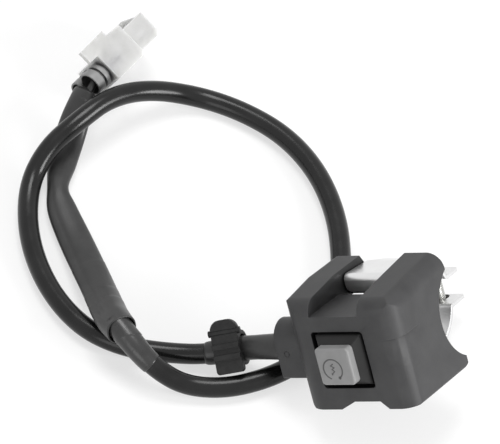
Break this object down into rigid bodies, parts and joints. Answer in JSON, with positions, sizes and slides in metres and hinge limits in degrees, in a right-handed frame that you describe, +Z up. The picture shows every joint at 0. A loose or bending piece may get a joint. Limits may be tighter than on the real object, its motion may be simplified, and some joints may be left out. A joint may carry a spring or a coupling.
{
  "type": "handlebar starter switch",
  "caption": "Push-button starter switch in a moulded housing that a hooked steel strap pair clamps to a 22 mm handlebar, with a sealed two-way plug on a looped cable",
  "frame": {"origin": "centre of the handlebar bore, on the bar's axis at the middle of the straps' width", "axes": "+Z is up with the switch lying on a bench, +Y points from the button's side towards the clamp's ears, and +X to the right of someone facing the button. The switch lies tilted: the bar's axis is (0.891, 0, 0.454), the button is pressed along (0.173, 0.924, -0.340) and the strap's channel faces (-0.419, 0.381, 0.824)"},
  "size_m": [0.1233, 0.0967, 0.043],
  "materials": {
    "housing_plastic": "fine spark-eroded texture, satin black",
    "button_cap_plastic": "smooth satin grey with a printed start symbol",
    "button_frame_plastic": "smooth satin black",
    "inner_plastic": "natural moulded insulator",
    "strap_steel": "bright plated steel, lightly brushed",
    "screw_steel": "zinc plated",
    "contact_brass": "bright",
    "spring_steel": "drawn wire",
    "rubber_black": "matt",
    "cable_sheath": "smooth, semi-gloss",
    "sleeve_black": "smooth, satin",
    "tape_black": "satin, lapped",
    "clip_plastic": "rough cut black nylon",
    "lead_insulation": "smooth",
    "seal_rubber": "smooth grey silicone",
    "plug_nylon": "milky natural nylon"
  },
  "bodies": {
    "switch": {"housing": "housing_plastic", "cable_boss": "housing_plastic", "back_cover": "housing_plastic", "cover_gasket": "rubber_black", "cover_screws": "screw_steel", "contact_carrier": "inner_plastic", "contact_left": "contact_brass", "contact_right": "contact_brass", "lead_left": "lead_insulation", "lead_right": "lead_insulation", "upper_strap": "strap_steel", "lower_strap": "strap_steel", "clamp_nut": "screw_steel", "stem_seal": "rubber_black", "return_spring": "spring_steel", "cable": "cable_sheath", "strain_relief": "sleeve_black", "clip_band": "clip_plastic", "clip_plate": "clip_plastic", "clip_pin": "clip_plastic", "tape_wrap": "tape_black", "harness_sleeve": "sleeve_black", "connector_housing": "plug_nylon", "connector_retainer": "plug_nylon", "seal_upper": "seal_rubber", "seal_lower": "seal_rubber", "terminal_upper": "contact_brass", "terminal_lower": "contact_brass", "wire_upper": "lead_insulation", "wire_lower": "lead_insulation"},
    "button": {"button_cap": "button_cap_plastic", "button_frame": "button_frame_plastic", "plunger": "inner_plastic", "contact_bridge": "contact_brass", "bridge_clip": "spring_steel"},
    "washer": {"clamp_washer": "screw_steel"},
    "screw": {"clamp_screw": "screw_steel"}
  },
  "joints": [
    {"name": "button_press", "type": "slide", "parent": "switch", "child": "button", "axis": [0.173, 0.9244, -0.3399], "range_m": [0, 0.002], "stiffness_N_per_m": 1500, "springref_m": -0.001, "deforming": ["return_spring"]},
    {"name": "clamp_screw_lift", "type": "slide", "parent": "switch", "child": "washer", "axis": [-0.4194, 0.3814, 0.8238], "range_m": [0, 0.002]},
    {"name": "clamp_screw_turn", "type": "hinge", "parent": "washer", "child": "screw", "pos_m": [0.00227, 0.01377, -0.00522], "axis": [-0.4194, 0.3814, 0.8238], "range_deg": [0, 1440]}
  ],
  "couplings": [
    {"joint": "clamp_screw_turn", "follows": "clamp_screw_lift", "rad_per_m": 12566}
  ]
}
